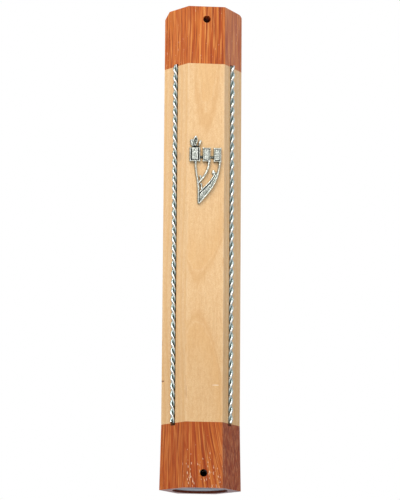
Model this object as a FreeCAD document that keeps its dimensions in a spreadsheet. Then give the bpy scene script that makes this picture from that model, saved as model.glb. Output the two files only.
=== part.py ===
import FreeCAD, Part
import math
import os

import Sketcher

# A mezuzah case: a hexagonal wooden tube that holds a rolled parchment. A light
# middle piece is glued between two red end caps, a twisted wire is inlaid in each
# front bevel, and a cast letter is pinned to the front. A push-in plug closes the
# lower end, where the scroll goes in.
#
# Millimetres. +Z is up along the case and the front faces -Y. The origin is the
# centre of the flat back face, which lies against the doorpost.

# The driving dimensions, each in a spreadsheet cell under its own name.
SIZES = {
    "case_length": 180.0,
    "case_width": 29.2,
    "case_depth": 23.6,
    "face_width": 13.6,
    "top_cap_length": 22.0,
    "bottom_cap_length": 24.0,
    "edge_ease": 0.35,
    "corner_cut_width": 1.5,
    "corner_cut_height": 2.8,
    "corner_round": 1.6,
    "bore_diameter": 16.0,
    "bottom_flare": 0.5,
    "screw_hole_diameter": 2.8,
    "top_screw_inset": 4.9,
    "bottom_screw_inset": 5.4,
    "plug_seat_diameter": 20.4,
    "plug_clearance": 0.05,
    "plug_thickness": 2.6,
    "plug_recess": 0.9,
    "plug_slot_width": 1.6,
    "plug_slot_depth": 0.8,
    "groove_diameter": 2.3,
    "groove_lift": 0.2,
    "left_groove_offset": 0.1,
    "right_groove_offset": -1.4,
    "notch_depth": 0.8,
    "strand_diameter": 0.92,
    "strand_gap": 0.06,
    "strand_top_gap": 0.25,
    "strand_foot_gap": 1.0,
    "left_twist_lead": 6.45,
    "right_twist_lead": 6.8,
    "left_twist_start": 22.0,
    "right_twist_start": 92.0,
    "rope_shift": 0.1,
    "scroll_length": 120.0,
    "scroll_above_screw": 2.1,
    "sheet_thickness": 0.35,
    "roll_core_diameter": 3.0,
    "roll_pitch": 0.88,
    "roll_turns": 5.0,
    "letter_width": 12.0,
    "letter_height": 21.45,
    "letter_middle": -0.27,
    "letter_thickness": 1.4,
    "letter_base_height": 14.4,
    "crown_height": 4.55,
    "pin_diameter": 1.0,
    "pin_length": 2.5,
    "pin_clearance": 0.05,
}

doc = FreeCAD.newDocument("mezuzah_case")
sheet = doc.addObject("Spreadsheet::Sheet", "Sizes")
for row, (alias, number) in enumerate(SIZES.items(), start=1):
    sheet.set(f"A{row}", alias)
    sheet.set(f"B{row}", str(number))
    sheet.setAlias(f"B{row}", alias)
doc.recompute()

# Places that several sub-parts share, as expressions of the cells.
HALF_LENGTH = "Sizes.case_length / 2"
TOP_JOINT = "(Sizes.case_length / 2 - Sizes.top_cap_length)"
BOTTOM_JOINT = "(Sizes.bottom_cap_length - Sizes.case_length / 2)"
MID_DEPTH = "-Sizes.case_depth / 2"
TOP_SCREW = "(Sizes.case_length / 2 - Sizes.top_screw_inset)"
BOTTOM_SCREW = "(Sizes.bottom_screw_inset - Sizes.case_length / 2)"
PLUG_OUTER_FACE = "(Sizes.plug_recess - Sizes.case_length / 2)"
PLUG_SEAT_FLOOR = "(Sizes.plug_recess + Sizes.plug_thickness - Sizes.case_length / 2)"
# The middle of a front bevel, and how far the bevel turns back from the front face.
BEVEL_X = "(Sizes.face_width + Sizes.case_width) / 4"
BEVEL_Y = "-Sizes.case_depth * 3 / 4"
BEVEL_TURN = "atan(Sizes.case_depth / (Sizes.case_width - Sizes.face_width))"
SIDES = (("left", -1), ("right", 1))


def value(expression):
    """The number that an expression of the cells stands for."""
    return float(sheet.evalExpression(expression))


def on_bevel(along, lift):
    """Expressions of a place so far along the right bevel from its middle, and above it."""
    x = f"{BEVEL_X} + ({along}) * cos({BEVEL_TURN}) + ({lift}) * sin({BEVEL_TURN})"
    y = f"{BEVEL_Y} + ({along}) * sin({BEVEL_TURN}) - ({lift}) * cos({BEVEL_TURN})"
    return x, y


# The cast letter is laid out in fractions of its width, from its middle, and of its
# height, from its foot. Heads are (centre, width). An arm's two sides are arcs, each
# given by its top, a point it passes and its foot. Arms run a little way into a head.
LETTER_HEADS = ((-0.325, 0.338), (0.04, 0.247), (0.372, 0.248))
HEAD_TOP = 1.0
HEAD_FOOT = 0.748
BAR_TOP = 0.855
BAR_FOOT = 0.81
ARM_OVERLAP = 0.02
ARM_TOP = HEAD_FOOT + ARM_OVERLAP
STEM = ((-0.345, ARM_TOP), (-0.25, 0.0), (-0.17, 0.0), (-0.265, ARM_TOP))
ARMS = {
    "middle": (
        ((0.161, ARM_TOP), (0.058, 0.55), (-0.169, 0.368)),
        ((0.078, ARM_TOP), (-0.012, 0.569), (-0.202, 0.42)),
    ),
    "right": (
        ((0.49, ARM_TOP), (0.265, 0.39), (-0.209, 0.0)),
        ((0.398, ARM_TOP), (0.229, 0.46), (-0.186, 0.224)),
    ),
}
# The crown's points, across from its middle and up its height.
CROWN_POINTS = ((-0.125, 0.6), (-0.05, 0.4), (0.028, 1.0), (0.07, 0.4), (0.16, 0.55))
CROWN_HALF_FOOT = 0.11
PIN_HEIGHT = 0.88


def letter_x(fraction):
    return f"Sizes.letter_middle + Sizes.letter_width * {fraction:.4f}"


def letter_z(fraction):
    return f"Sizes.letter_base_height + Sizes.letter_height * {fraction:.4f}"


def letter_point(x, z):
    return FreeCAD.Vector(value(letter_x(x)), value(letter_z(z)), 0)


# Two pins on the letter's back stand behind the outer heads.
PIN_PLACES = [(letter_x(LETTER_HEADS[index][0]), letter_z(PIN_HEIGHT)) for index in (0, 2)]


# ---------------------------------------------------------------- drawing helpers


def new_body(name):
    body = doc.addObject("PartDesign::Body", name)
    body.Label = name
    return body


def new_sketch(body, name, role, offset="0"):
    """A sketch on one of the body's own origin planes, moved along its normal."""
    sketch = body.newObject("Sketcher::SketchObject", name)
    plane = next(item for item in body.Origin.OriginFeatures if item.Role == role)
    sketch.AttachmentSupport = [(plane, "")]
    sketch.MapMode = "FlatFace"
    sketch.setExpression("AttachmentOffset.Base.z", offset)
    return sketch


def bind(sketch, kind, parts, expression):
    """Adds one dimension to a sketch and ties it to an expression."""
    index = sketch.addConstraint(Sketcher.Constraint(kind, *parts, value(expression)))
    sketch.setExpression(f"Constraints[{index}]", expression)


def bind_point(sketch, point, x, y):
    """Ties a point of a sketch to two expressions, measured from the origin."""
    origin = (-1, 1)
    for kind, axis, expression in (("DistanceX", -2, x), ("DistanceY", -1, y)):
        distance = value(expression)
        if abs(distance) < 1e-9:
            sketch.addConstraint(Sketcher.Constraint("PointOnObject", *point, axis))
        elif distance > 0:
            bind(sketch, kind, (*origin, *point), expression)
        else:
            bind(sketch, kind, (*point, *origin), f"-({expression})")


def draw_polygon(sketch, corners):
    """A closed outline through corners, each a pair of expressions."""
    points = [FreeCAD.Vector(value(x), value(y), 0) for x, y in corners]
    lines = [Part.LineSegment(a, b) for a, b in zip(points, points[1:] + points[:1])]
    first = sketch.addGeometry(lines, False)[0]
    for index, (x, y) in enumerate(corners):
        following = (index + 1) % len(corners)
        sketch.addConstraint(Sketcher.Constraint("Coincident", first + index, 2, first + following, 1))
        bind_point(sketch, (first + index, 1), x, y)


def draw_circle(sketch, x, y, diameter):
    centre = FreeCAD.Vector(value(x), value(y), 0)
    circle = sketch.addGeometry(Part.Circle(centre, FreeCAD.Vector(0, 0, 1), value(diameter) / 2), False)
    bind_point(sketch, (circle, 3), x, y)
    bind(sketch, "Diameter", (circle,), diameter)


def add_feature(body, kind, name, sketch, length, reverse=False):
    """A Pad or Pocket of one sketch. A length of None runs through the whole body."""
    before = body.Shape.Volume if not body.Shape.isNull() else 0.0
    feature = body.newObject(f"PartDesign::{kind}", name)
    feature.Profile = sketch
    feature.Reversed = reverse
    if length is None:
        feature.Type = "ThroughAll"
    else:
        feature.setExpression("Length", length)
    doc.recompute()
    grown = body.Shape.Volume - before
    if (kind == "Pad" and grown <= 0) or (kind == "Pocket" and grown >= 0):
        raise RuntimeError(f"{name} changed the volume by {grown:.4f} mm3")
    return feature


def round_edges(body, base, name, wanted):
    """Rounds the edges of the base feature that wanted() picks."""
    edges = base.Shape.Edges
    fillet = body.newObject("PartDesign::Fillet", name)
    fillet.Base = (base, [f"Edge{index + 1}" for index, edge in enumerate(edges) if wanted(edge)])
    fillet.setExpression("Radius", "Sizes.edge_ease")
    doc.recompute()
    return fillet


def is_upright(edge):
    """True for the long edges, from one end of a wooden piece to the other."""
    return edge.BoundBox.ZLength > 5.0


# ---------------------------------------------------------------- wooden pieces


def case_outline(sketch, flare="0"):
    """The hexagon of the wooden pieces, its back on the X axis and wider by the flare."""
    face = f"(Sizes.face_width / 2 + {flare} / 2)"
    side = f"(Sizes.case_width / 2 + {flare})"
    draw_polygon(
        sketch,
        [
            (f"-{face}", "0"),
            (f"-{side}", MID_DEPTH),
            (f"-{face}", "-Sizes.case_depth"),
            (face, "-Sizes.case_depth"),
            (side, MID_DEPTH),
            (face, "0"),
        ],
    )


def cut_wire_grooves(body, name, start, length, reverse=False):
    """A round-bottomed groove up both front bevels, starting at the height start."""
    for side, sign in SIDES:
        sketch = new_sketch(body, f"{name}_{side}_sketch", "XY_Plane", start)
        x, y = on_bevel(f"Sizes.{side}_groove_offset", "Sizes.groove_lift")
        draw_circle(sketch, f"{sign} * ({x})", y, "Sizes.groove_diameter")
        add_feature(body, "Pocket", f"{name}_{side}", sketch, length, reverse)


def cut_screw_hole(body, name, height):
    """A screw hole straight through from the front to the back."""
    sketch = new_sketch(body, f"{name}_sketch", "XZ_Plane")
    draw_circle(sketch, "0", height, "Sizes.screw_hole_diameter")
    return add_feature(body, "Pocket", name, sketch, None, reverse=True)


def make_top_cap():
    """Solid red wood, with both side corners of its upper end eased."""
    body = new_body("top_cap")
    outline = new_sketch(body, "top_cap_outline", "XY_Plane", TOP_JOINT)
    case_outline(outline)
    add_feature(body, "Pad", "top_cap_block", outline, "Sizes.top_cap_length")

    chamfer = new_sketch(body, "top_cap_chamfer_sketch", "XZ_Plane")
    draw_polygon(
        chamfer,
        [
            ("-Sizes.case_width / 2", HALF_LENGTH),
            ("-Sizes.case_width / 2", f"{HALF_LENGTH} - Sizes.corner_cut_height"),
            ("-Sizes.case_width / 2 + Sizes.corner_cut_width", HALF_LENGTH),
        ],
    )
    add_feature(body, "Pocket", "top_cap_chamfer", chamfer, None, reverse=True)

    # The other corner is rounded: a square corner less a quarter disc.
    radius = value("Sizes.corner_round")
    corner = FreeCAD.Vector(value("Sizes.case_width / 2"), value(HALF_LENGTH), 0)
    centre = corner - FreeCAD.Vector(radius, radius, 0)
    rounding = new_sketch(body, "top_cap_rounding_sketch", "XZ_Plane")
    disc = Part.Circle(centre, FreeCAD.Vector(0, 0, 1), radius)
    rounding.addGeometry(Part.ArcOfCircle(disc, 0, math.pi / 2), False)
    rounding.addGeometry(Part.LineSegment(centre + FreeCAD.Vector(0, radius, 0), corner), False)
    rounding.addGeometry(Part.LineSegment(corner, centre + FreeCAD.Vector(radius, 0, 0)), False)
    rounding.addConstraint(Sketcher.Constraint("Coincident", 1, 1, 0, 2))
    rounding.addConstraint(Sketcher.Constraint("Coincident", 2, 2, 0, 1))
    rounding.addConstraint(Sketcher.Constraint("Coincident", 1, 2, 2, 1))
    side, top = "Sizes.case_width / 2", HALF_LENGTH
    bind_point(rounding, (1, 1), f"{side} - Sizes.corner_round", top)
    bind_point(rounding, (1, 2), side, top)
    bind_point(rounding, (2, 2), side, f"{top} - Sizes.corner_round")
    bind(rounding, "Radius", (0,), "Sizes.corner_round")
    shaped = add_feature(body, "Pocket", "top_cap_rounding", rounding, None, reverse=True)

    round_edges(body, shaped, "top_cap_edges", is_upright)
    cut_screw_hole(body, "top_cap_screw_hole", TOP_SCREW)
    cut_wire_grooves(body, "top_cap_notch", TOP_JOINT, "Sizes.notch_depth", reverse=True)
    return body


def make_middle():
    """Light wood, bored from end to end for the scroll."""
    body = new_body("case_body")
    outline = new_sketch(body, "case_body_outline", "XY_Plane", BOTTOM_JOINT)
    case_outline(outline)
    length = f"{TOP_JOINT} - {BOTTOM_JOINT}"
    block = add_feature(body, "Pad", "case_body_block", outline, length)
    round_edges(body, block, "case_body_edges", is_upright)

    bore = new_sketch(body, "case_body_bore_sketch", "XY_Plane", BOTTOM_JOINT)
    draw_circle(bore, "0", MID_DEPTH, "Sizes.bore_diameter")
    add_feature(body, "Pocket", "case_body_bore", bore, length, reverse=True)
    cut_wire_grooves(body, "case_body_groove", BOTTOM_JOINT, length, reverse=True)

    pins = new_sketch(body, "case_body_pin_sketch", "XZ_Plane", "Sizes.case_depth")
    for x, z in PIN_PLACES:
        draw_circle(pins, x, z, "Sizes.pin_diameter + 2 * Sizes.pin_clearance")
    add_feature(body, "Pocket", "case_body_pin_holes", pins, "Sizes.pin_length + Sizes.pin_clearance")
    return body


def make_bottom_cap():
    """Red wood that flares a little downwards, bored through, with a seat for the plug."""
    body = new_body("bottom_cap")
    upper = new_sketch(body, "bottom_cap_upper_outline", "XY_Plane", BOTTOM_JOINT)
    case_outline(upper)
    lower = new_sketch(body, "bottom_cap_lower_outline", "XY_Plane", f"-{HALF_LENGTH}")
    case_outline(lower, "Sizes.bottom_flare")
    block = body.newObject("PartDesign::AdditiveLoft", "bottom_cap_block")
    block.Profile = upper
    block.Sections = [lower]
    block.Ruled = True
    doc.recompute()
    round_edges(body, block, "bottom_cap_edges", is_upright)

    bore = new_sketch(body, "bottom_cap_bore_sketch", "XY_Plane", BOTTOM_JOINT)
    draw_circle(bore, "0", MID_DEPTH, "Sizes.bore_diameter")
    add_feature(body, "Pocket", "bottom_cap_bore", bore, "Sizes.bottom_cap_length")

    seat = new_sketch(body, "plug_seat_sketch", "XY_Plane", PLUG_SEAT_FLOOR)
    draw_circle(seat, "0", MID_DEPTH, "Sizes.plug_seat_diameter")
    add_feature(body, "Pocket", "plug_seat", seat, "Sizes.plug_recess + Sizes.plug_thickness")

    cut_screw_hole(body, "bottom_cap_screw_hole", BOTTOM_SCREW)
    cut_wire_grooves(body, "bottom_cap_notch", BOTTOM_JOINT, "Sizes.notch_depth")
    return body


# ---------------------------------------------------------------- plug and scroll


def make_plug():
    """A push-in disc with a straight slot for a coin across its outer face."""
    body = new_body("bottom_plug")
    disc = new_sketch(body, "bottom_plug_outline", "XY_Plane", PLUG_OUTER_FACE)
    draw_circle(disc, "0", MID_DEPTH, "Sizes.plug_seat_diameter - 2 * Sizes.plug_clearance")
    add_feature(body, "Pad", "bottom_plug_disc", disc, "Sizes.plug_thickness")

    slot = new_sketch(body, "bottom_plug_slot_sketch", "XY_Plane", PLUG_OUTER_FACE)
    near = f"{MID_DEPTH} - Sizes.plug_slot_width / 2"
    far = f"{MID_DEPTH} + Sizes.plug_slot_width / 2"
    reach = "Sizes.plug_seat_diameter / 2"
    draw_polygon(slot, [(f"-{reach}", near), (reach, near), (reach, far), (f"-{reach}", far)])
    add_feature(body, "Pocket", "bottom_plug_slot", slot, "Sizes.plug_slot_depth", reverse=True)
    return body


def make_scroll():
    """Parchment rolled into a loose spiral, standing clear above the lower screw."""
    core = value("Sizes.roll_core_diameter / 2")
    bottom = value(f"{BOTTOM_SCREW} + Sizes.scroll_above_screw")
    spine = doc.addObject("Part::Spiral", "scroll_spine")
    spine.setExpression("Radius", "Sizes.roll_core_diameter / 2")
    spine.setExpression("Growth", "Sizes.roll_pitch")
    spine.setExpression("Rotations", "Sizes.roll_turns")
    spine.Placement.Base = FreeCAD.Vector(0, value(MID_DEPTH), bottom)

    edge_on = doc.addObject("Part::Plane", "scroll_section")
    edge_on.setExpression("Length", "Sizes.sheet_thickness")
    edge_on.setExpression("Width", "Sizes.scroll_length")
    stand_up = FreeCAD.Rotation(FreeCAD.Vector(1, 0, 0), 90)
    start = FreeCAD.Vector(core - value("Sizes.sheet_thickness") / 2, value(MID_DEPTH), bottom)
    edge_on.Placement = FreeCAD.Placement(start, stand_up)

    scroll = doc.addObject("Part::Sweep", "scroll")
    scroll.Sections = [edge_on]
    doc.recompute()
    scroll.Spine = (spine, [f"Edge{index + 1}" for index in range(len(spine.Shape.Edges))])
    scroll.Solid = True
    scroll.Frenet = False
    return scroll


# ---------------------------------------------------------------- twisted wires


def make_strand(side, hand, strand, phase):
    """One wire of a twisted pair. It rises into the top cap's notch and ends over the lower."""
    name = f"{side}_wire_{strand}"
    radius = value("(Sizes.strand_diameter + Sizes.strand_gap) / 2")
    lead = value(f"Sizes.{side}_twist_lead")
    foot = f"{BOTTOM_JOINT} - Sizes.notch_depth + Sizes.strand_foot_gap"
    x, y = on_bevel(f"Sizes.{side}_groove_offset + Sizes.rope_shift", "Sizes.groove_lift")
    axis_point = FreeCAD.Vector(hand * value(x), value(y), value(foot))
    turn = FreeCAD.Rotation(FreeCAD.Vector(0, 0, 1), value(f"Sizes.{side}_twist_start") + phase)

    spine = doc.addObject("Part::Helix", f"{name}_spine")
    spine.LocalCoord = "Right-handed" if hand > 0 else "Left-handed"
    spine.setExpression("Radius", "(Sizes.strand_diameter + Sizes.strand_gap) / 2")
    spine.setExpression("Pitch", f"Sizes.{side}_twist_lead")
    spine.setExpression("Height", f"{TOP_JOINT} + Sizes.notch_depth - Sizes.strand_top_gap - ({foot})")
    spine.SegmentLength = 1
    spine.Placement = FreeCAD.Placement(axis_point, turn)

    # The section stands square to the helix where it starts.
    climb = FreeCAD.Vector(0, hand * 2 * math.pi * radius, lead)
    square_on = FreeCAD.Rotation(FreeCAD.Vector(0, 0, 1), turn.multVec(climb))
    section = doc.addObject("Part::Circle", f"{name}_section")
    section.setExpression("Radius", "Sizes.strand_diameter / 2")
    start = axis_point + turn.multVec(FreeCAD.Vector(radius, 0, 0))
    section.Placement = FreeCAD.Placement(start, square_on)
    doc.recompute()

    wire = doc.addObject("Part::Sweep", name)
    wire.Sections = [section]
    wire.Spine = (spine, [f"Edge{index + 1}" for index in range(len(spine.Shape.Edges))])
    wire.Solid = True
    wire.Frenet = True
    return wire


def make_strands():
    """Two wires on each side. The left pair twists the opposite way to the right."""
    return [
        make_strand(side, hand, strand, phase)
        for side, hand in SIDES
        for strand, phase in (("a", 0), ("b", 180))
    ]


# ---------------------------------------------------------------- cast letter

def draw_arm(sketch, outer, inner):
    """An arm between two arcs, each given by its top, a point it passes and its foot."""
    arcs = [Part.Arc(*(letter_point(*place) for place in side)) for side in (outer, inner)]
    sketch.addGeometry(arcs, False)
    for end in (0, 2):
        sketch.addGeometry(Part.LineSegment(letter_point(*outer[end]), letter_point(*inner[end])), False)


def draw_block(sketch, left, right, foot, top):
    """An upright rectangle of the letter."""
    corners = ((left, foot), (right, foot), (right, top), (left, top))
    draw_polygon(sketch, [(letter_x(x), letter_z(z)) for x, z in corners])


def pad_letter(body, name, share_of_thickness, draw):
    """A pad on the front face, of the outline that draw() puts in its sketch."""
    sketch = new_sketch(body, f"letter_{name}_sketch", "XZ_Plane", "Sizes.case_depth")
    draw(sketch)
    add_feature(body, "Pad", f"letter_{name}", sketch, f"Sizes.letter_thickness * {share_of_thickness}")


def draw_heads(sketch):
    for centre, width in LETTER_HEADS:
        draw_block(sketch, centre - width / 2, centre + width / 2, HEAD_FOOT, HEAD_TOP)


def draw_bar(sketch):
    draw_block(sketch, LETTER_HEADS[0][0], LETTER_HEADS[2][0], BAR_FOOT, BAR_TOP)


def draw_stem(sketch):
    draw_polygon(sketch, [(letter_x(x), letter_z(z)) for x, z in STEM])


def draw_crown(sketch):
    """Three points on the left head: the middle one is the tallest."""
    middle = LETTER_HEADS[0][0]
    top = letter_z(HEAD_TOP)
    points = [(middle + x, f"{top} + Sizes.crown_height * {rise}") for x, rise in CROWN_POINTS]
    foot = [(middle + x, letter_z(HEAD_TOP - ARM_OVERLAP)) for x in (CROWN_HALF_FOOT, -CROWN_HALF_FOOT)]
    draw_polygon(sketch, [(letter_x(x), z) for x, z in points + foot])


def make_letter():
    """A plain three-armed letter shin with a small crown, cast in one piece."""
    body = new_body("shin_emblem")
    pad_letter(body, "heads", 1.0, draw_heads)
    pad_letter(body, "bar", 0.6, draw_bar)
    pad_letter(body, "stem", 1.0, draw_stem)
    for name, (outer, inner) in ARMS.items():
        pad_letter(body, f"{name}_arm", 1.0, lambda sketch: draw_arm(sketch, outer, inner))
    pad_letter(body, "crown", 0.8, draw_crown)

    pins = new_sketch(body, "letter_pin_sketch", "XZ_Plane", "Sizes.case_depth")
    for x, z in PIN_PLACES:
        draw_circle(pins, x, z, "Sizes.pin_diameter")
    add_feature(body, "Pad", "letter_pins", pins, "Sizes.pin_length", reverse=True)
    return body


# ---------------------------------------------------------------- check and write


def check_and_write(pieces):
    doc.recompute()
    broken = [item.Name for item in doc.Objects if "Invalid" in item.State or "Error" in item.State]
    if broken:
        raise RuntimeError(f"not computed: {broken}")
    for piece in pieces:
        if piece.Shape.isNull() or not piece.Shape.isValid() or not piece.Shape.Solids:
            raise RuntimeError(f"{piece.Label} has no valid solid")
    os.makedirs("parts", exist_ok=True)
    for piece in pieces:
        piece.Shape.exportStep(f"parts/{piece.Label}.step")
        box = piece.Shape.optimalBoundingBox()
        print(
            f"{piece.Label:16s} {piece.Shape.Volume:10.2f} mm3  x {box.XMin:.2f}..{box.XMax:.2f}"
            f"  y {box.YMin:.2f}..{box.YMax:.2f}  z {box.ZMin:.2f}..{box.ZMax:.2f}"
        )


check_and_write(
    [make_top_cap(), make_middle(), make_bottom_cap(), make_plug(), make_scroll(), make_letter()]
    + make_strands()
)
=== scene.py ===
import math

import bmesh
import bpy
import numpy as np
from mathutils import Matrix, Quaternion, Vector, noise


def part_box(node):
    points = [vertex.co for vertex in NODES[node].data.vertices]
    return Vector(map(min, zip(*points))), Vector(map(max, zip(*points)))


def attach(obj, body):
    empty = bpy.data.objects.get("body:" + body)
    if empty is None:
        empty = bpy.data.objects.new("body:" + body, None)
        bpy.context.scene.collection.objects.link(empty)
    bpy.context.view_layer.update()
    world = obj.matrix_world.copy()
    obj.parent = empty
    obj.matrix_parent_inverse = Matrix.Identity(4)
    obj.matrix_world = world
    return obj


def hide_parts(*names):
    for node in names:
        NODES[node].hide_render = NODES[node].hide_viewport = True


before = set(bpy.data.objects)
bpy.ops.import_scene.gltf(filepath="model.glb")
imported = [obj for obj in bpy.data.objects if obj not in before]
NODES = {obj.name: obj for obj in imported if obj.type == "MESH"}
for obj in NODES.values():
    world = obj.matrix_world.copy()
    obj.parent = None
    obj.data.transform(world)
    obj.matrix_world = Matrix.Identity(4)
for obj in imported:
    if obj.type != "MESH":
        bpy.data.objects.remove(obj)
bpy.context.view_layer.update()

# Looks for the mezuzah case. Metres, +Z up, the front faces -Y.

MM = 0.001

CASE_LOW, CASE_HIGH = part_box("case_body")
TOP_LOW, TOP_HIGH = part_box("top_cap")
BOTTOM_LOW, BOTTOM_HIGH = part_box("bottom_cap")
EMBLEM_LOW, EMBLEM_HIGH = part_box("shin_emblem")

FRONT_Y = CASE_LOW.y
MID_DEPTH = (CASE_LOW.y + CASE_HIGH.y) / 2
CASE_CENTRE = Vector((0, MID_DEPTH, (TOP_HIGH.z + BOTTOM_LOW.z) / 2))


# ---------------------------------------------------------------- camera and light

CAMERA_AZIMUTH = -6.15
CAMERA_ELEVATION = -10.52
CAMERA_ROLL = 0.433
CAMERA_DISTANCE = 1.0389
CAMERA_LENS = 201.2
SENSOR_WIDTH = 36.0
AIM_OFFSET = Vector((-0.68, 0.0, -0.38)) * MM

WORLD_COLOUR = (0.86, 0.92, 1.0)
WORLD_FROM_BELOW = 0.10
WORLD_FROM_ABOVE = 0.55

FLOOR_DROP = 0.31
FLOOR_SIZE = 6.0


def direction(azimuth, elevation):
    """The way from the case to something at that azimuth and elevation, in degrees."""
    a, e = math.radians(azimuth), math.radians(elevation)
    return Vector((math.sin(a) * math.cos(e), -math.cos(a) * math.cos(e), math.sin(e)))


def add_to_scene(name, data):
    thing = bpy.data.objects.new(name, data)
    bpy.context.scene.collection.objects.link(thing)
    return thing


def make_camera():
    data = bpy.data.cameras.new("camera")
    data.lens = CAMERA_LENS
    data.sensor_width = SENSOR_WIDTH
    camera = add_to_scene("camera", data)
    back = direction(CAMERA_AZIMUTH, CAMERA_ELEVATION)
    camera.location = CASE_CENTRE + AIM_OFFSET + back * CAMERA_DISTANCE
    aimed = (-back).to_track_quat("-Z", "Y")
    roll = Quaternion((0, 0, 1), math.radians(CAMERA_ROLL))
    camera.rotation_mode = "QUATERNION"
    camera.rotation_quaternion = aimed @ roll
    data.clip_start, data.clip_end = 0.01, 20.0
    bpy.context.scene.camera = camera


def soft_box(name, azimuth, elevation, distance, size, power, colour, glints=True):
    """A rectangular light aimed at the case, which shows in reflections only if glints is set.

    Angles are in degrees, the distance and size in metres, and the power in watts.
    """
    data = bpy.data.lights.new(name, "AREA")
    data.shape = "RECTANGLE"
    data.size, data.size_y = size
    data.energy = power
    data.color = colour
    light = add_to_scene(name, data)
    way = direction(azimuth, elevation)
    light.location = CASE_CENTRE + way * distance
    light.rotation_mode = "QUATERNION"
    light.rotation_quaternion = way.to_track_quat("Z", "Y")
    light.visible_camera = False
    light.visible_glossy = glints


def make_lights():
    soft_box("key", -34, 42, 0.85, (0.5, 0.5), 4.9, (1.0, 0.98, 0.95))
    soft_box("spark", 28, 32, 0.85, (0.25, 0.3), 0.6, (1.0, 1.0, 0.98))
    soft_box("front_fill", 12, 14, 1.5, (0.9, 0.9), 3.1, (1.0, 0.99, 0.98))
    soft_box("right_strip", 58, 10, 1.2, (0.22, 0.6), 0.5, (1.0, 1.0, 0.97))
    soft_box("right_rear", 115, 30, 0.9, (0.6, 0.6), 1.15, (0.80, 0.90, 1.0))
    soft_box("left_rear", -120, 20, 1.1, (0.5, 0.9), 3.1, (0.94, 0.97, 1.0), glints=False)


def make_world():
    """White behind the object. What lights it is a dimmer cool grey, brighter from above."""
    world = bpy.data.worlds.new("studio")
    bpy.context.scene.world = world
    world.use_nodes = True
    tree = world.node_tree
    tree.nodes.clear()
    seen = tree.nodes.new("ShaderNodeBackground")
    seen.inputs["Color"].default_value = (1, 1, 1, 1)
    place = tree.nodes.new("ShaderNodeTexCoord")
    split = tree.nodes.new("ShaderNodeSeparateXYZ")
    rise = tree.nodes.new("ShaderNodeMapRange")
    rise.inputs["From Min"].default_value = -1.0
    rise.inputs["To Min"].default_value = WORLD_FROM_BELOW
    rise.inputs["To Max"].default_value = WORLD_FROM_ABOVE
    lighting = tree.nodes.new("ShaderNodeBackground")
    lighting.inputs["Color"].default_value = (*WORLD_COLOUR, 1)
    ray = tree.nodes.new("ShaderNodeLightPath")
    mix = tree.nodes.new("ShaderNodeMixShader")
    out = tree.nodes.new("ShaderNodeOutputWorld")
    tree.links.new(place.outputs["Generated"], split.inputs[0])
    tree.links.new(split.outputs["Z"], rise.inputs["Value"])
    tree.links.new(rise.outputs["Result"], lighting.inputs["Strength"])
    tree.links.new(ray.outputs["Is Camera Ray"], mix.inputs["Fac"])
    tree.links.new(lighting.outputs[0], mix.inputs[1])
    tree.links.new(seen.outputs[0], mix.inputs[2])
    tree.links.new(mix.outputs[0], out.inputs["Surface"])


# ---------------------------------------------------------------- material helpers


class Graph:
    """A small wrapper for building one material's node tree."""

    def __init__(self, name):
        self.material = bpy.data.materials.new(name)
        self.material.use_nodes = True
        self.tree = self.material.node_tree
        self.shader = self.tree.nodes["Principled BSDF"]

    def add(self, kind, **settings):
        node = self.tree.nodes.new(kind)
        for key, setting in settings.items():
            setattr(node, key, setting)
        return node

    def plug(self, source, socket):
        """Links an output, or sets a plain number or colour, on an input socket."""
        if isinstance(source, bpy.types.NodeSocket):
            self.tree.links.new(source, socket)
        else:
            socket.default_value = source

    def math(self, operation, first, second=0.0, third=0.0, clamp=False):
        node = self.add("ShaderNodeMath", operation=operation, use_clamp=clamp)
        for socket, source in zip(node.inputs, (first, second, third)):
            self.plug(source, socket)
        return node.outputs[0]

    def millimetres(self):
        """The place in the case's own frame, in millimetres."""
        place = self.add("ShaderNodeTexCoord")
        scale = self.add("ShaderNodeVectorMath", operation="SCALE")
        self.plug(place.outputs["Object"], scale.inputs[0])
        scale.inputs["Scale"].default_value = 1 / MM
        return scale.outputs[0]

    def stretched(self, vector, scale, shift=(0, 0, 0)):
        mapping = self.add("ShaderNodeMapping")
        mapping.inputs["Location"].default_value = shift
        mapping.inputs["Scale"].default_value = scale
        self.plug(vector, mapping.inputs["Vector"])
        return mapping.outputs[0]

    def noise(self, vector, detail=2.0, roughness=0.5):
        node = self.add("ShaderNodeTexNoise")
        self.plug(vector, node.inputs["Vector"])
        node.inputs["Scale"].default_value = 1.0
        node.inputs["Detail"].default_value = detail
        node.inputs["Roughness"].default_value = roughness
        return node.outputs["Fac"]

    def ramp(self, factor, stops):
        node = self.add("ShaderNodeValToRGB")
        elements = node.color_ramp.elements
        while len(elements) < len(stops):
            elements.new(0.5)
        for element, (position, colour) in zip(elements, stops):
            element.position = position
            element.color = (*colour, 1)
        self.plug(factor, node.inputs["Fac"])
        return node.outputs["Color"]

    def mix(self, factor, first, second, blend="MIX"):
        node = self.add("ShaderNodeMix", data_type="RGBA", blend_type=blend)
        self.plug(factor, node.inputs["Factor"])
        self.plug(first if not isinstance(first, tuple) else (*first, 1), node.inputs["A"])
        self.plug(second if not isinstance(second, tuple) else (*second, 1), node.inputs["B"])
        return node.outputs["Result"]

    def band(self, factor, low, high, floor=0.0, ceiling=1.0):
        """Rises smoothly from floor to ceiling as the factor goes from low to high."""
        node = self.add("ShaderNodeMapRange", interpolation_type="SMOOTHSTEP")
        self.plug(factor, node.inputs["Value"])
        node.inputs["From Min"].default_value = low
        node.inputs["From Max"].default_value = high
        node.inputs["To Min"].default_value = floor
        node.inputs["To Max"].default_value = ceiling
        return node.outputs["Result"]

    def bump(self, height, depth_mm, strength=1.0, below=None):
        node = self.add("ShaderNodeBump")
        node.inputs["Strength"].default_value = strength
        node.inputs["Distance"].default_value = depth_mm * MM
        self.plug(height, node.inputs["Height"])
        if below is not None:
            self.plug(below, node.inputs["Normal"])
        return node.outputs["Normal"]


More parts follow.
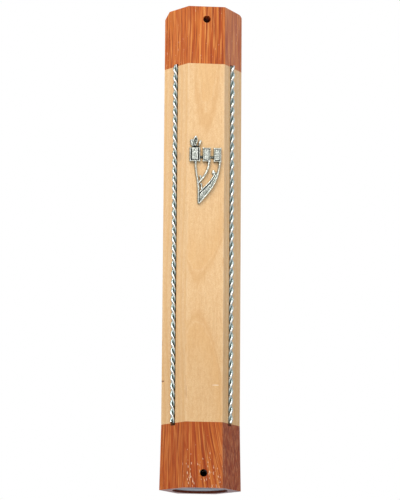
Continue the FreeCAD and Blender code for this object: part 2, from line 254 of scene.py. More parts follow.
def assign(target, material):
    target.data.materials.clear()
    target.data.materials.append(material)


# ---------------------------------------------------------------- wood

# The tree's growth rings on the middle piece, in mm: the heart of the log, at this x and
# y, lies behind it and leans, and its rings draw in at one height, so that they cut the
# front in arches. Each ring ends in a thin dark line.
RING_HEART = (-1.9, 22.0)
RING_LEAN = 0.035
RING_SPACING = 2.0
FIRST_RING = 45.51
RING_DIP = 2.7
RING_DIP_HEIGHT = -20.0
RING_DIP_SPREAD = 35.0
RING_DRIFT = 2.4
RING_WOBBLE = 0.16
LINE_START = 0.04

# How far from a rope's upright axis its groove's wall is, where the painted shade in its wires'
# crevices starts and ends, how far into the caps the painted shade of the notches runs, and how
# far from the bore's axis the seat in the lower end reaches, all in mm.
GROOVE_REACH = 1.15
WIRE_CORE = 0.62
WIRE_CREST = 0.93
NOTCH_LENGTH = 0.85
SEAT_REACH = 10.25

# The woods' colours and tints, as linear red, green and blue.
PALE_WOOD = (0.875, 0.585, 0.300)
PALE_DARKER = (0.79, 0.475, 0.22)
PALE_LIGHTER = (0.93, 0.68, 0.40)
PALE_GRIT = (0.74, 0.43, 0.19)
PALE_FIBRE = (0.70, 0.38, 0.16)
PALE_WORN = (0.90, 0.66, 0.40)
RING_SHADE = (0.78, 0.435, 0.16)
RING_LINE = (0.66, 0.33, 0.11)
# Painted shade towards the middle piece's foot.
PAINTED_FOOT_SHADE = (0.86, 0.82, 0.76)
RED_WOOD = (0.560, 0.130, 0.026)
RED_WORN = (0.66, 0.22, 0.06)
# Painted sheen on the lower cap's right side.
PAINTED_SHEEN_TINT = (0.78, 0.84, 1.65)
FLECK = (0.86, 0.59, 0.39)
# Painted shade in the wires' grooves and notches.
PAINTED_GROOVE_SHADE = (0.035, 0.018, 0.012)
# Painted shade in the lower cap's bore and seat.
PAINTED_BORE_SHADE = (0.09, 0.012, 0.007)
# Painted reflection: the grey sheen on the lower cap's end face.
PAINTED_END_SHEEN = (0.26, 0.30, 0.36)

# Small marks of use on the middle piece's front: the centre (x, z) and half sizes of each
# in mm, its tint and its strength.
MARKS = (
    ((-14.3, -50.0), (0.7, 0.35), (0.20, 0.07, 0.03), 0.90),
    ((-9.5, 33.0), (0.8, 2.2), (0.62, 0.38, 0.20), 0.50),
    ((-6.6, -55.0), (0.25, 3.0), (0.45, 0.22, 0.09), 0.60),
    ((4.2, -52.5), (1.6, 0.22), (0.97, 0.85, 0.66), 0.55),
)

# The red wood's streaks, laid over each other in this order: width and length in mm, the
# band of the noise that draws them, tint and strength.
STREAKS = (
    (4.0, 70, 0.42, 0.60, (0.44, 0.080, 0.014), 0.60),
    (1.3, 45, 0.48, 0.62, (0.38, 0.055, 0.010), 0.40),
    (0.62, 24, 0.48, 0.60, (0.70, 0.215, 0.040), 0.80),
    (0.45, 16, 0.52, 0.62, (0.84, 0.350, 0.095), 0.72),
    (0.50, 22, 0.52, 0.62, (0.26, 0.030, 0.007), 0.66),
)
FLECK_WIDTH = 0.26
FLECK_LENGTH = 1.7
GRAIN_WANDER = 1.2


def split_place(g, place):
    node = g.add("ShaderNodeSeparateXYZ")
    g.plug(place, node.inputs[0])
    return node.outputs["X"], node.outputs["Y"], node.outputs["Z"]


def join_place(g, x, y, z):
    node = g.add("ShaderNodeCombineXYZ")
    for socket, source in zip(node.inputs, (x, y, z)):
        g.plug(source, socket)
    return node.outputs[0]


def front_face_half_width():
    """Half the width of the flat front face, read from the middle piece's mesh."""
    corners = [v.co for v in NODES["case_body"].data.vertices if v.co.y < FRONT_Y + 0.01 * MM]
    return max(abs(co.x) for co in corners)


FACE_HALF_WIDTH = front_face_half_width()


def case_edge_distance(g, place):
    """How far a point is from the nearest long edge of the case, in millimetres."""
    x, y, _ = split_place(g, place)
    side = g.math("ABSOLUTE", x)
    depth = g.math("ABSOLUTE", g.math("SUBTRACT", y, MID_DEPTH / MM))
    half_depth = (CASE_HIGH.y - CASE_LOW.y) / 2 / MM
    distances = []
    for edge_x, edge_y in ((FACE_HALF_WIDTH / MM, half_depth), (CASE_HIGH.x / MM, 0.0)):
        across = g.math("POWER", g.math("SUBTRACT", side, edge_x), 2.0)
        along = g.math("POWER", g.math("SUBTRACT", depth, edge_y), 2.0)
        distances.append(g.math("SQRT", g.math("ADD", across, along)))
    return g.math("MINIMUM", *distances)


def straight_grain(g, place, fan, seed):
    """The place with the fibres set upright, slightly wavy, and shifted by the seed.

    fan spreads the fibres downwards: their slope grows by so much for each millimetre
    towards +X, from none at the left edge of the front face to most at its right edge.
    """
    x, y, z = split_place(g, place)
    from_left = g.math("ADD", x, FACE_HALF_WIDTH / MM)
    below_joint = g.math("SUBTRACT", z, BOTTOM_HIGH.z / MM)
    leaning = g.math("MINIMUM", g.math("MAXIMUM", from_left, 0.0), 2 * FACE_HALF_WIDTH / MM)
    slope = g.math("MULTIPLY", leaning, fan)
    x = g.math("ADD", x, g.math("MULTIPLY", slope, below_joint))
    wander = g.noise(g.stretched(place, (0.05, 0.05, 0.03), shift=(seed, 0, 0)), detail=2)
    x = g.math("ADD", x, g.math("MULTIPLY", wander, GRAIN_WANDER))
    return g.stretched(join_place(g, x, y, z), (1, 1, 1), shift=(seed, seed * 1.7, seed * 2.3))


def fibre_lines(g, grain, width, length, low, high, detail=2.0):
    """A mask of long thin lines: a smaller share of the wood the higher low and high are."""
    field = g.noise(g.stretched(grain, (1 / width, 1 / width, 1 / length)), detail=detail, roughness=0.55)
    return g.band(field, low, high)


def growth_rings(g, place):
    """The soft shade of each ring's late wood, and the dark line that ends it."""
    x, y, z = split_place(g, place)
    drift = g.noise(g.stretched(place, (0.14, 0.14, 0.05), shift=(5, 2, 8)), detail=3)
    lean = g.math("MULTIPLY_ADD", z, -RING_LEAN, -RING_HEART[0])
    x = g.math("ADD", g.math("ADD", x, lean), g.math("MULTIPLY_ADD", drift, RING_DRIFT, -RING_DRIFT / 2))
    y = g.math("SUBTRACT", y, RING_HEART[1])
    radius = g.math("SQRT", g.math("ADD", g.math("MULTIPLY", x, x), g.math("MULTIPLY", y, y)))
    height = g.math("DIVIDE", g.math("SUBTRACT", z, RING_DIP_HEIGHT), RING_DIP_SPREAD)
    square = g.math("MULTIPLY", height, height)
    dip = g.math("MULTIPLY", g.math("DIVIDE", square, g.math("ADD", square, 1.0)), RING_DIP)
    waves = g.noise(g.stretched(place, (0.6, 0.6, 0.25)), detail=3)
    wobble = g.math("MULTIPLY_ADD", waves, RING_WOBBLE, -RING_WOBBLE / 2)
    grown = g.math("ADD", g.math("SUBTRACT", radius, dip), wobble)
    count = g.math("DIVIDE", g.math("SUBTRACT", grown, FIRST_RING), RING_SPACING)
    age = g.math("FRACT", g.math("ADD", count, LINE_START))
    late_wood = g.math("MULTIPLY", g.band(age, 0.45, 0.98), g.band(age, 1.0, 0.985))
    shade = g.math("ADD", late_wood, g.band(age, 0.14, 0.0, 0.0, 0.55), clamp=True)
    line = g.math("MULTIPLY", g.band(age, 0.0, 0.03), g.band(age, 0.085, 0.035))
    return shade, line


def smudge(g, place, centre, size):
    """A mask of a small oval mark on the front, ragged and soft at its edge."""
    x, y, z = split_place(g, place)
    across = g.math("DIVIDE", g.math("SUBTRACT", x, centre[0]), size[0])
    up = g.math("DIVIDE", g.math("SUBTRACT", z, centre[1]), size[1])
    ragged = g.math("MULTIPLY", g.noise(g.stretched(place, (1.5, 1.5, 1.5)), detail=2), 0.5)
    reach = g.math("SQRT", g.math("ADD", g.math("MULTIPLY", across, across), g.math("MULTIPLY", up, up)))
    mark = g.band(g.math("ADD", reach, ragged), 0.90, 1.25, 1.0, 0.0)
    return g.math("MULTIPLY", mark, g.math("LESS_THAN", y, MID_DEPTH / MM + 1.0))


def rub_edges(g, place, colour, tint, amount):
    """Paler along the long edges, where hands have worn the varnish."""
    patchy = g.noise(g.stretched(place, (0.8, 0.8, 0.25)), detail=3)
    near_edge = g.band(case_edge_distance(g, place), 0.1, 0.9, 1.0, 0.0)
    worn = g.math("MULTIPLY", near_edge, g.band(patchy, 0.3, 0.7))
    return g.mix(g.math("MULTIPLY", worn, amount), colour, tint)


def varnish(g, place, colour, pores, roughness, shine):
    """Satin varnish, smeared in places, that has sunk a little into the pores."""
    g.plug(colour, g.shader.inputs["Base Color"])
    smear = g.noise(g.stretched(place, (0.25, 0.25, 0.08), shift=(4, 9, 2)), detail=3)
    g.plug(g.band(smear, 0.3, 0.7, roughness, roughness + 0.12), g.shader.inputs["Roughness"])
    g.shader.inputs["Specular IOR Level"].default_value = shine
    sunk = g.bump(g.math("SUBTRACT", 1.0, pores), 0.03)
    g.plug(g.bump(smear, 0.2, strength=0.4, below=sunk), g.shader.inputs["Normal"])
    return g.material


def rope_reach(g, place):
    """How far a point is from the upright axis of the nearer twisted pair, in millimetres."""
    x, y, _ = split_place(g, place)
    reaches = []
    for side in ("left", "right"):
        low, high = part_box(f"{side}_wire_a")
        middle = (low + high) / 2 / MM
        across = g.math("POWER", g.math("SUBTRACT", x, middle.x), 2.0)
        deep = g.math("POWER", g.math("SUBTRACT", y, middle.y), 2.0)
        reaches.append(g.math("SQRT", g.math("ADD", across, deep)))
    return g.math("MINIMUM", *reaches)


def groove_shade(g, place, colour, amount):
    """Painted shade inside the wires' grooves and notches, in patches."""
    _, _, z = split_place(g, place)
    above_foot = g.math("GREATER_THAN", z, BOTTOM_HIGH.z / MM - NOTCH_LENGTH)
    below_top = g.math("LESS_THAN", z, TOP_LOW.z / MM + NOTCH_LENGTH)
    # Painted shade within the groove's reach of each rope's axis.
    inside = g.band(rope_reach(g, place), GROOVE_REACH, GROOVE_REACH + 0.25, amount, 0.0)
    inside = g.math("MULTIPLY", g.math("MULTIPLY", inside, above_foot), below_top)
    patchy = g.noise(g.stretched(place, (0.3, 0.3, 0.10), shift=(2, 6, 5)), detail=1)
    inside = g.math("MULTIPLY", inside, g.band(patchy, 0.42, 0.58, 0.55, 1.0))
    return g.mix(inside, colour, PAINTED_GROOVE_SHADE)


def bored_end(g, place, colour):
    """The lower cap: painted shade inside its bore and seat, and a painted grey reflection on its end
    face.
    """
    x, y, z = split_place(g, place)
    deep = g.math("SUBTRACT", y, MID_DEPTH / MM)
    reach = g.math("SQRT", g.math("ADD", g.math("MULTIPLY", x, x), g.math("MULTIPLY", deep, deep)))
    # Painted shade inside the bore and seat.
    inside = g.band(reach, SEAT_REACH, SEAT_REACH + 0.15, 0.85, 0.0)
    colour = g.mix(inside, colour, PAINTED_BORE_SHADE)
    # Painted reflection: a grey sheen on the end face.
    end_grain = g.math("LESS_THAN", z, BOTTOM_LOW.z / MM + 0.02)
    return g.mix(g.math("MULTIPLY", end_grain, 0.45), colour, PAINTED_END_SHEEN)


def light_wood():
    """Pale fine-grained wood with soft arched rings, a few small marks of use, painted shade towards the
    foot and painted shade in the grooves.
    """
    g = Graph("light_wood")
    place = g.millimetres()
    grain = straight_grain(g, place, fan=0.0, seed=3.0)
    mottle = g.noise(g.stretched(grain, (1.6, 1.6, 0.7)), detail=4, roughness=0.7)
    colour = g.mix(g.band(mottle, 0.40, 0.64, 0.0, 0.80), PALE_WOOD, PALE_DARKER)
    flecks = g.noise(g.stretched(place, (2.2, 2.2, 3.4), shift=(7, 3, 1)), detail=3, roughness=0.7)
    colour = g.mix(g.band(flecks, 0.48, 0.66, 0.0, 0.58), colour, PALE_LIGHTER)
    grit = g.noise(g.stretched(place, (3.4, 3.4, 2.8), shift=(1, 4, 9)), detail=2)
    colour = g.mix(g.band(grit, 0.40, 0.62, 0.0, 0.45), colour, PALE_GRIT)
    shade, line = growth_rings(g, place)
    colour = g.mix(g.math("MULTIPLY", shade, 0.42), colour, RING_SHADE)
    colour = g.mix(g.math("MULTIPLY", line, 0.30), colour, RING_LINE)
    fibres = fibre_lines(g, grain, 0.55, 7, 0.52, 0.62)
    colour = g.mix(g.math("MULTIPLY", fibres, 0.20), colour, PALE_FIBRE)
    _, _, z = split_place(g, place)
    # Painted shade: darker towards the foot.
    towards_foot = g.band(z, -8.0, -52.0, 0.0, 0.65)
    colour = g.mix(towards_foot, colour, PAINTED_FOOT_SHADE, blend="MULTIPLY")
    for centre, size, tint, amount in MARKS:
        colour = g.mix(g.math("MULTIPLY", smudge(g, place, centre, size), amount), colour, tint)
    colour = rub_edges(g, place, colour, PALE_WORN, 0.35)
    colour = groove_shade(g, place, colour, 0.80)
    return varnish(g, place, colour, fibres, roughness=0.34, shine=0.28)


def red_wood(name, fan, seed, shade):
    """Red-brown wood with long dark and orange streaks, multiplied by the shade's colour."""
    g = Graph(name)
    place = g.millimetres()
    grain = straight_grain(g, place, fan, seed)
    colour = RED_WOOD
    for number, (width, length, low, high, tint, amount) in enumerate(STREAKS):
        shifted = g.stretched(grain, (1, 1, 1), shift=(3.1 * number, 1.3 * number, 0))
        lines = fibre_lines(g, shifted, width, length, low, high)
        colour = g.mix(g.math("MULTIPLY", lines, amount), colour, tint)
    return g, place, grain, g.mix(1.0, colour, shade, blend="MULTIPLY")


def flecked(g, grain, colour, threshold):
    """Short pale flecks along the grain, where filler has stayed in the open pores."""
    scale = (1 / FLECK_WIDTH, 1 / FLECK_WIDTH, 1 / FLECK_LENGTH)
    field = g.noise(g.stretched(grain, scale), detail=1, roughness=0.55)
    pores = g.band(g.math("SUBTRACT", field, threshold), 0.0, 0.08)
    pores = g.math("MULTIPLY", pores, fibre_lines(g, grain, 0.7, 45, 0.44, 0.54, detail=1))
    return pores, g.mix(pores, colour, FLECK)


def finish_red_wood(g, place, colour, pores):
    """Both caps' worn edges, painted shade in the notches, and varnish."""
    colour = rub_edges(g, place, colour, RED_WORN, 0.45)
    colour = groove_shade(g, place, colour, 1.0)
    return varnish(g, place, colour, pores, roughness=0.30, shine=0.17)


def upper_red_wood():
    """Brighter and more even than the lower cap's wood, with a few flecks."""
    g, place, grain, colour = red_wood("red_wood_top", fan=0.0, seed=11.0, shade=(0.97, 0.92, 0.84))
    pores, colour = flecked(g, grain, colour, 0.70)
    return finish_red_wood(g, place, colour, pores)


def lower_red_wood():
    """Darker than the upper cap's wood, with a painted purplish sheen on its right, and flecked low in
    front.
    """
    g, place, grain, colour = red_wood("red_wood_bottom", fan=0.015, seed=29.0, shade=(0.82, 0.70, 0.60))
    x, y, z = split_place(g, place)
    half = FACE_HALF_WIDTH / MM
    # Painted sheen: a purplish reflection multiplied into the right side.
    colour = g.mix(g.band(x, half - 0.3, half + 0.3), colour, PAINTED_SHEEN_TINT, blend="MULTIPLY")
    low_down = g.band(z, BOTTOM_HIGH.z / MM - 4.0, BOTTOM_LOW.z / MM + 4.0)
    in_front = g.band(y, FRONT_Y / MM + 2.0, FRONT_Y / MM + 0.3)
    threshold = g.math("MULTIPLY_ADD", g.math("MULTIPLY", low_down, in_front), -0.155, 0.76)
    pores, colour = flecked(g, grain, colour, threshold)
    return finish_red_wood(g, place, bored_end(g, place, colour), pores)


# ---------------------------------------------------------------- other materials


def cast_metal():
    """Polished on the high spots, dark with old patina in the hollows, and with painted shade where it
    lies low by the wood.
    """
    g = Graph("cast_pewter")
    patina_and_shade = g.add("ShaderNodeAttribute", attribute_name="patina_and_shade").outputs["Fac"]
    place = g.millimetres()
    mottle = g.noise(g.stretched(place, (2.2, 2.2, 2.2)), detail=4, roughness=0.65)
    dark = g.math("ADD", patina_and_shade, g.band(mottle, 0.45, 0.7, 0.0, 0.42), clamp=True)
    shades = (
        (0.0, (0.80, 0.82, 0.76)),
        (0.3, (0.56, 0.59, 0.52)),
        (0.65, (0.19, 0.21, 0.17)),
        (1.0, (0.03, 0.03, 0.027)),
    )
    g.plug(g.ramp(dark, shades), g.shader.inputs["Base Color"])
    g.plug(g.math("MULTIPLY_ADD", dark, 0.25, 0.27), g.shader.inputs["Roughness"])
    g.shader.inputs["Metallic"].default_value = 1.0
    g.plug(g.bump(mottle, 0.05, strength=0.6), g.shader.inputs["Normal"])
    return g.material


def silver_wire():
    """Tarnished in cloudy patches, with painted shade in the crevices towards the rope's core, so each
    strand's outer side stays bright.
    """
    g = Graph("silver_wire")
    place = g.millimetres()
    cloud = g.noise(g.stretched(place, (1.5, 1.5, 0.5)), detail=3)
    # Painted shade in the crevices between the strands, near the rope's core.
    crevice_shade = g.band(rope_reach(g, place), WIRE_CORE, WIRE_CREST, 1.0, 0.0)
    tarnish_and_shade = g.math("MULTIPLY_ADD", cloud, 0.35, g.math("MULTIPLY", crevice_shade, 0.62), clamp=True)
    shades = (
        (0.12, (0.92, 0.94, 0.91)),
        (0.45, (0.66, 0.73, 0.69)),
        (0.75, (0.44, 0.52, 0.49)),
        (1.0, (0.20, 0.24, 0.22)),
    )
    g.plug(g.ramp(tarnish_and_shade, shades), g.shader.inputs["Base Color"])
    scratches = g.noise(g.stretched(place, (14, 14, 2.0)), detail=2)
    g.plug(g.band(scratches, 0.3, 0.7, 0.20, 0.32), g.shader.inputs["Roughness"])
    g.shader.inputs["Metallic"].default_value = 1.0
    g.plug(g.bump(scratches, 0.008), g.shader.inputs["Normal"])
    return g.material


def grey_plastic():
    """Matt grey with a fine moulded grain and a faint cloud of two shades."""
    g = Graph("grey_plug")
    place = g.millimetres()
    grain = g.noise(g.stretched(place, (3, 3, 3)), detail=4)
    cloud = g.noise(g.stretched(place, (0.3, 0.3, 0.3)), detail=2)
    shade = g.math("ADD", g.math("MULTIPLY", grain, 0.4), g.math("MULTIPLY", cloud, 0.6))
    colour = g.ramp(shade, ((0.3, (0.25, 0.27, 0.31)), (0.7, (0.36, 0.38, 0.42))))
    g.plug(colour, g.shader.inputs["Base Color"])
    g.plug(g.band(grain, 0.3, 0.7, 0.45, 0.6), g.shader.inputs["Roughness"])
    g.plug(g.bump(grain, 0.03), g.shader.inputs["Normal"])
    return g.material


def parchment():
    """Blank scraped skin: warm cream with follicle speckle and faint stains."""
    g = Graph("parchment")
    place = g.millimetres()
    stain = g.noise(g.stretched(place, (0.12, 0.12, 0.05)), detail=3)
    follicles = g.noise(g.stretched(place, (4, 4, 4)), detail=2)
    creams = ((0.3, (0.66, 0.52, 0.32)), (0.5, (0.80, 0.69, 0.48)), (0.75, (0.87, 0.79, 0.61)))
    colour = g.ramp(stain, creams)
    colour = g.mix(g.band(follicles, 0.62, 0.74, 0.0, 0.35), colour, (0.52, 0.38, 0.22))
    g.plug(colour, g.shader.inputs["Base Color"])
    g.plug(g.band(stain, 0.3, 0.7, 0.55, 0.7), g.shader.inputs["Roughness"])
    g.shader.inputs["Subsurface Weight"].default_value = 0.08
    g.shader.inputs["Subsurface Scale"].default_value = 0.5 * MM
    g.plug(g.bump(follicles, 0.02), g.shader.inputs["Normal"])
    return g.material


def dress_cad_nodes():
    assign(NODES["case_body"], light_wood())
    assign(NODES["top_cap"], upper_red_wood())
    assign(NODES["bottom_cap"], lower_red_wood())
    assign(NODES["bottom_plug"], grey_plastic())
    assign(NODES["scroll"], parchment())
    wire = silver_wire()
    for side in ("left", "right"):
        for strand in ("a", "b"):
            assign(NODES[f"{side}_wire_{strand}"], wire)


# ---------------------------------------------------------------- emblem

# The cast letter is laid out in fractions of its own box: across its width from the
# left, and up its height from the foot. Widths and rises of its parts are in mm.
EMBLEM_WIDTH = EMBLEM_HIGH.x - EMBLEM_LOW.x
EMBLEM_HEIGHT = EMBLEM_HIGH.z - EMBLEM_LOW.z
HEAD_TOP = 0.825
HEAD_FOOT = 0.617
HEAD_BASE_RISE = 0.62
BORDER_WIDTH = 0.62
BORDER_RISE = 1.25
BAR_HEIGHT = 0.690
RIDGE_SIDES = 10
PIN_RADIUS = 0.5 * MM
CAST_VOXEL = 0.08 * MM
STIPPLE_GRAIN = 0.22 * MM
STIPPLE_DEPTH = 0.085 * MM

# The middle and width of each head, and the inset and rise of the panel in its borders.
HEADS = (
    (0.170, 0.341, 0.075, 1.12),
    (0.537, 0.249, 0.060, 0.98),
    (0.875, 0.250, 0.060, 0.98),
)

LEFT_ARM = (
    (0.189, 0.63), (0.212, 0.481), (0.258, 0.348), (0.285, 0.232), (0.290, 0.100), (0.288, 0.012),
)
MIDDLE_ARM = ((0.620, 0.63), (0.582, 0.525), (0.490, 0.430), (0.400, 0.370), (0.300, 0.312))
BLADE_RIM = (
    (0.945, 0.63), (0.932, 0.535), (0.866, 0.400), (0.765, 0.292),
    (0.685, 0.228), (0.532, 0.135), (0.300, 0.008),
)
BLADE_INNER = (
    (0.905, 0.61), (0.885, 0.530), (0.843, 0.452), (0.768, 0.382),
    (0.683, 0.320), (0.548, 0.250), (0.350, 0.160),
)
INNER_RIDGE = ((0.815, 0.470), (0.740, 0.400), (0.655, 0.338), (0.520, 0.268), (0.335, 0.182))
CROWN_LEAF = (
    (0.165, 0.850), (0.125, 0.895), (0.140, 0.945), (0.192, 0.978),
    (0.232, 0.950), (0.225, 0.905), (0.180, 0.850),
)


def on_face(across, up, rise_mm=0.0):
    """A point of the emblem, standing rise_mm in front of the wood."""
    x = EMBLEM_LOW.x + EMBLEM_WIDTH * across
    z = EMBLEM_LOW.z + EMBLEM_HEIGHT * up
    return Vector((x, FRONT_Y - rise_mm * MM, z))


def smooth_run(values, steps):
    """Values on a Catmull-Rom curve through the given ones, steps to each span."""
    padded = [2 * values[0] - values[1], *values, 2 * values[-1] - values[-2]]
    run = []
    for a, b, c, d in zip(padded, padded[1:], padded[2:], padded[3:]):
        for step in range(steps):
            t = step / steps
            bend = (2 * a - 5 * b + 4 * c - d) * t ** 2 + (3 * b - a - 3 * c + d) * t ** 3
            run.append(0.5 * (2 * b + (c - a) * t + bend))
    return run + [values[-1]]


def ridge(bm, places, widths, rises, steps=8):
    """A closed round-topped ridge lying on the wood along places (across, up)."""
    centres = smooth_run([on_face(*place) for place in places], steps)
    widths = np.interp(np.linspace(0, len(widths) - 1, len(centres)), range(len(widths)), widths)
    rises = np.interp(np.linspace(0, len(rises) - 1, len(centres)), range(len(rises)), rises)
    rings = []
    for index, centre in enumerate(centres):
        before = centres[max(index - 1, 0)]
        after = centres[min(index + 1, len(centres) - 1)]
        along = (after - before).normalized()
        sideways = Vector((-along.z, 0, along.x))
        ring = []
        for side in range(RIDGE_SIDES + 1):
            angle = math.pi * side / RIDGE_SIDES
            out = math.cos(angle) * widths[index] / 2 * MM
            up = math.sin(angle) * rises[index] * MM
            ring.append(bm.verts.new(centre + sideways * out - Vector((0, up, 0))))
        rings.append(ring)
    for low, high in zip(rings, rings[1:]):
        for i in range(RIDGE_SIDES + 1):
            j = (i + 1) % (RIDGE_SIDES + 1)
            bm.faces.new((low[i], low[j], high[j], high[i]))
    bm.faces.new(rings[0][::-1])
    bm.faces.new(rings[-1])


def slab(bm, outline, rise_mm):
    """A flat plate of the given outline, a list of (across, up)."""
    back = [bm.verts.new(on_face(*place)) for place in outline]
    front = [bm.verts.new(on_face(*place, rise_mm)) for place in outline]
    for i in range(len(outline)):
        j = (i + 1) % len(outline)
        bm.faces.new((back[i], back[j], front[j], front[i]))
    bm.faces.new(back[::-1])
    bm.faces.new(front)


def strip(bm, one_side, other_side, rise_mm):
    """A plate between two smooth lines, in short slabs."""
    first = smooth_run([Vector(place) for place in one_side], 6)
    second = smooth_run([Vector(place) for place in other_side], 6)
    for a, b, c, d in zip(first, first[1:], second, second[1:]):
        slab(bm, [tuple(c), tuple(d), tuple(b), tuple(a)], rise_mm)


def bead(bm, across, up, radius_mm, rise_mm):
    """A round boss, its top standing rise_mm in front of the wood."""
    made = bmesh.ops.create_icosphere(bm, subdivisions=3, radius=radius_mm * MM)
    bmesh.ops.translate(bm, verts=made["verts"], vec=on_face(across, up, rise_mm - radius_mm))


def block(bm, left, right, foot, top, rise_mm):
    slab(bm, [(left, foot), (right, foot), (right, top), (left, top)], rise_mm)


def add_heads(bm):
    """Three square tablets, each with a panel and raised borders on a base, joined by bars.

    The crown's band stands in for the first one's upper border.
    """
    side, end = 0.026, 0.012
    for number, (middle, width, inset, panel_rise) in enumerate(HEADS):
        left, right = middle - width / 2, middle + width / 2
        block(bm, left, right, HEAD_FOOT, HEAD_TOP, HEAD_BASE_RISE)
        borders = [
            ((left + side, HEAD_FOOT), (left + side, HEAD_TOP)),
            ((right - side, HEAD_FOOT), (right - side, HEAD_TOP)),
            ((left, HEAD_FOOT + end), (right, HEAD_FOOT + end)),
        ]
        if number > 0:
            borders.append(((left, HEAD_TOP - end), (right, HEAD_TOP - end)))
        for border in borders:
            ridge(bm, border, (BORDER_WIDTH,) * 2, (BORDER_RISE,) * 2, steps=4)
        block(bm, left + inset, right - inset, HEAD_FOOT + 0.030, HEAD_TOP - 0.018, panel_rise)
    for (left, *_), (right, *_) in zip(HEADS, HEADS[1:]):
        ridge(bm, ((left, BAR_HEIGHT), (right, BAR_HEIGHT)), (1.1, 1.1), (0.42, 0.42), steps=4)


def add_arms(bm):
    """A narrow left arm, a curved middle one and a broad stippled blade on the right."""
    ridge(bm, LEFT_ARM, (1.15, 0.95, 0.95, 1.05, 1.0, 0.6), (1.15, 1.1, 1.1, 1.15, 1.1, 0.8))
    ridge(bm, MIDDLE_ARM, (1.15, 1.1, 1.05, 0.95, 0.8), (1.25, 1.2, 1.15, 1.1, 0.9))
    strip(bm, BLADE_RIM, BLADE_INNER, 0.68)
    strip(bm, BLADE_INNER[2:], INNER_RIDGE, 0.25)
    ridge(bm, BLADE_RIM, (1.0, 0.95, 0.95, 0.9, 0.9, 0.9, 0.6), (1.3, 1.3, 1.35, 1.35, 1.3, 1.2, 0.9))
    ridge(bm, INNER_RIDGE, (0.45, 0.7, 0.8, 0.75, 0.6), (0.9, 1.1, 1.15, 1.05, 0.9))


def add_knobs(bm):
    """Small leaf-like knobs in the forks of the arms."""
    ridge(bm, ((0.785, 0.425), (0.765, 0.460), (0.755, 0.500)), (0.8, 1.7, 1.0), (0.9, 1.0, 0.8), steps=5)
    ridge(bm, ((0.365, 0.362), (0.345, 0.405)), (0.6, 0.75), (0.9, 1.0), steps=4)
    ridge(bm, ((0.385, 0.235), (0.378, 0.290)), (0.75, 0.6), (1.0, 0.9), steps=4)
    bead(bm, 0.345, 0.408, 0.45, 1.15)
    bead(bm, 0.376, 0.293, 0.40, 1.05)
    bead(bm, 0.392, 0.228, 0.42, 1.10)


def add_crown(bm):
    """An open pointed leaf between two smaller ones, over a low band that painted shade makes dark."""
    middle = HEADS[0][0]
    block(bm, middle - 0.09, middle + 0.13, HEAD_TOP - 0.01, HEAD_TOP + 0.030, 0.25)
    ridge(bm, CROWN_LEAF, (0.6, 0.65, 0.7, 0.9, 0.75, 0.65, 0.5), (0.9, 1.1, 1.3, 1.4, 1.3, 1.1, 0.9))
    block(bm, 0.145, 0.215, 0.855, 0.965, 0.75)
    ridge(bm, ((0.110, 0.838), (0.080, 0.875), (0.050, 0.930)), (0.7, 1.4, 0.9), (0.9, 1.3, 1.1), steps=6)
    ridge(bm, ((0.290, 0.845), (0.320, 0.885), (0.350, 0.920)), (0.5, 1.1, 0.8), (0.8, 1.2, 1.1), steps=6)
    bead(bm, 0.195, 0.975, 0.50, 1.4)
    bead(bm, 0.070, 0.925, 0.52, 1.2)
    bead(bm, 0.345, 0.915, 0.48, 1.2)


def add_pins(bm):
    """The two pins on the back, behind the outer heads."""
    depth = EMBLEM_HIGH.y - FRONT_Y
    rod = {"cap_ends": True, "segments": 24, "radius1": PIN_RADIUS, "radius2": PIN_RADIUS, "depth": depth}
    for middle, *_ in (HEADS[0], HEADS[2]):
        foot = on_face(middle, (HEAD_FOOT + HEAD_TOP) / 2)
        made = bmesh.ops.create_cone(bm, **rod)
        bmesh.ops.rotate(bm, verts=made["verts"], matrix=Matrix.Rotation(math.pi / 2, 3, "X"))
        bmesh.ops.translate(bm, verts=made["verts"], vec=foot + Vector((0, depth / 2, 0)))


def link_mesh(name, bm):
    mesh = bpy.data.meshes.new(name)
    bmesh.ops.recalc_face_normals(bm, faces=bm.faces)
    bm.to_mesh(mesh)
    bm.free()
    return add_to_scene(name, mesh)


def apply_modifiers(piece):
    """Leaves the piece's mesh as its modifiers make it, with none left on it."""
    evaluated = piece.evaluated_get(bpy.context.evaluated_depsgraph_get())
    mesh = bpy.data.meshes.new_from_object(evaluated)
    piece.modifiers.clear()
    piece.data = mesh


def neighbour_average(points, edges, rounds):
    """Each point moved to the mean of its neighbours, a number of times."""
    first, second = edges[:, 0], edges[:, 1]
    count = np.bincount(edges.ravel(), minlength=len(points)).astype(float)[:, None]
    for _ in range(rounds):
        total = np.zeros_like(points)
        np.add.at(total, first, points[second])
        np.add.at(total, second, points[first])
        points = total / np.maximum(count, 1)
    return points


def mesh_arrays(mesh):
    points = np.empty(len(mesh.vertices) * 3)
    mesh.vertices.foreach_get("co", points)
    edges = np.empty(len(mesh.edges) * 2, dtype=int)
    mesh.edges.foreach_get("vertices", edges)
    normals = np.empty(len(mesh.vertices) * 3)
    mesh.vertices.foreach_get("normal", normals)
    return points.reshape(-1, 3), edges.reshape(-1, 2), normals.reshape(-1, 3)


def fuse_and_soften(emblem):
    """Joins the overlapping parts into one skin and rounds off their edges."""
    fuse = emblem.modifiers.new("fuse", "REMESH")
    fuse.mode = "VOXEL"
    fuse.voxel_size = CAST_VOXEL
    soften = emblem.modifiers.new("soften", "SMOOTH")
    soften.factor = 0.5
    soften.iterations = 4
    apply_modifiers(emblem)


def stipple(points, normals):
    """Pits the faces that look forward, and keeps every point inside the CAD letter's depth."""
    facing = np.clip(-normals[:, 1], 0, 1)
    pits = np.array([noise.noise(Vector(point) / STIPPLE_GRAIN) for point in points])
    points[:, 1] += pits * facing * STIPPLE_DEPTH
    points[:, 1] = np.clip(points[:, 1], EMBLEM_LOW.y, FRONT_Y)


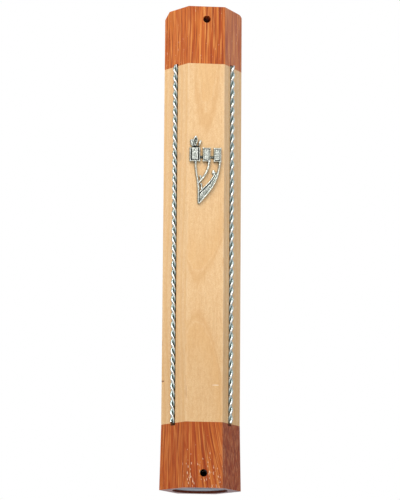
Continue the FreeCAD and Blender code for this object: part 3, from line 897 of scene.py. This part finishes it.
def patina_and_shade_amount(points, edges, normals):
    """From 0 on high spots to 1 in dips, both narrow and wide, which take patina, and low down by the
    wood, which is painted shade.
    """
    rise = (FRONT_Y - points[:, 1]) / MM
    # Painted shade on the parts that lie low by the wood.
    patina_and_shade = np.interp(rise, (0.25, 0.55, 0.75), (1.0, 0.75, 0.10))
    for rounds, depth_mm in ((3, 0.035), (24, 0.16)):
        rounded = neighbour_average(points, edges, rounds)
        patina_and_shade += np.clip(((rounded - points) * normals).sum(axis=1) / (depth_mm * MM), -0.3, 0.8)
    return np.clip(patina_and_shade, 0, 1).astype(np.float32)


def make_emblem():
    """One casting: the parts are fused, softened, seated on the wood and stippled."""
    bm = bmesh.new()
    add_heads(bm)
    add_arms(bm)
    add_knobs(bm)
    add_crown(bm)
    emblem = link_mesh("emblem_casting", bm)
    fuse_and_soften(emblem)

    points, edges, normals = mesh_arrays(emblem.data)
    stipple(points, normals)
    emblem.data.vertices.foreach_set("co", points.ravel())
    attribute = emblem.data.attributes.new("patina_and_shade", "FLOAT", "POINT")
    attribute.data.foreach_set("value", patina_and_shade_amount(points, edges, normals))
    emblem.data.polygons.foreach_set("use_smooth", [True] * len(emblem.data.polygons))

    with_pins = bmesh.new()
    with_pins.from_mesh(emblem.data)
    add_pins(with_pins)
    with_pins.to_mesh(emblem.data)
    with_pins.free()
    assign(emblem, cast_metal())
    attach(emblem, "case")
    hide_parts("shin_emblem")


# ---------------------------------------------------------------- stage


def make_floor():
    """A pale floor, unseen, that throws light back up from below where the plug reaches."""
    bm = bmesh.new()
    bmesh.ops.create_grid(bm, x_segments=1, y_segments=1, size=FLOOR_SIZE)
    floor = link_mesh("floor", bm)
    floor.location = (0, 0, BOTTOM_LOW.z - FLOOR_DROP)
    floor.visible_camera = False
    g = Graph("pale_floor")
    g.shader.inputs["Base Color"].default_value = (0.86, 0.86, 0.85, 1)
    g.shader.inputs["Roughness"].default_value = 0.8
    assign(floor, g.material)


make_camera()
make_lights()
make_world()
make_floor()
dress_cad_nodes()
make_emblem()

scene = bpy.context.scene
scene.view_settings.view_transform = "Standard"
scene.view_settings.look = "None"

bpy.context.view_layer.update()
